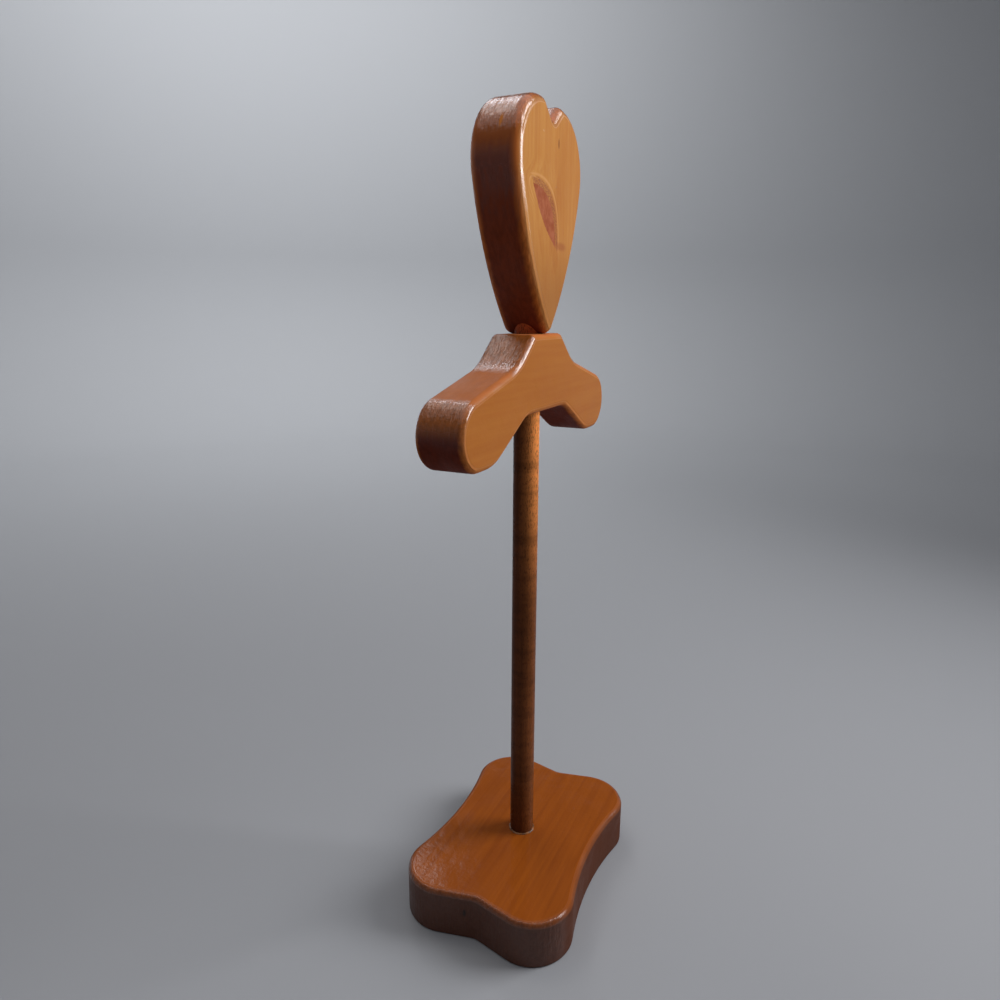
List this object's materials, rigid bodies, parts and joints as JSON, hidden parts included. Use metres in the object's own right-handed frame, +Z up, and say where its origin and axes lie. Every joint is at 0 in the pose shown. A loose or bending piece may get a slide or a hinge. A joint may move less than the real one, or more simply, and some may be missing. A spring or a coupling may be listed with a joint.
{
  "type": "coat stand",
  "caption": "Small free-standing clothes stand: scalloped wooden base, round post, shoulder board cut like a coat hanger and a thick heart on top for a hat.",
  "frame": {"origin": "middle of the base board's underside, on the floor, on the post's axis", "axes": "+Z up along the post, +X along the shoulder board and the base's length, -Y out of the heart's front face"},
  "size_m": [0.256, 0.135, 0.5915],
  "materials": {
    "base_pine": "gloss",
    "post_hardwood": "gloss",
    "shoulder_pine": "gloss",
    "heart_pine": "gloss",
    "screw_steel": "satin",
    "nail_steel": "satin"
  },
  "bodies": {
    "root": {"base_board": "base_pine", "post": "post_hardwood", "shoulder_board": "shoulder_pine", "heart_board": "heart_pine", "base_screw": "screw_steel", "shoulder_nail": "nail_steel", "heart_nail": "nail_steel"}
  },
  "joints": []
}
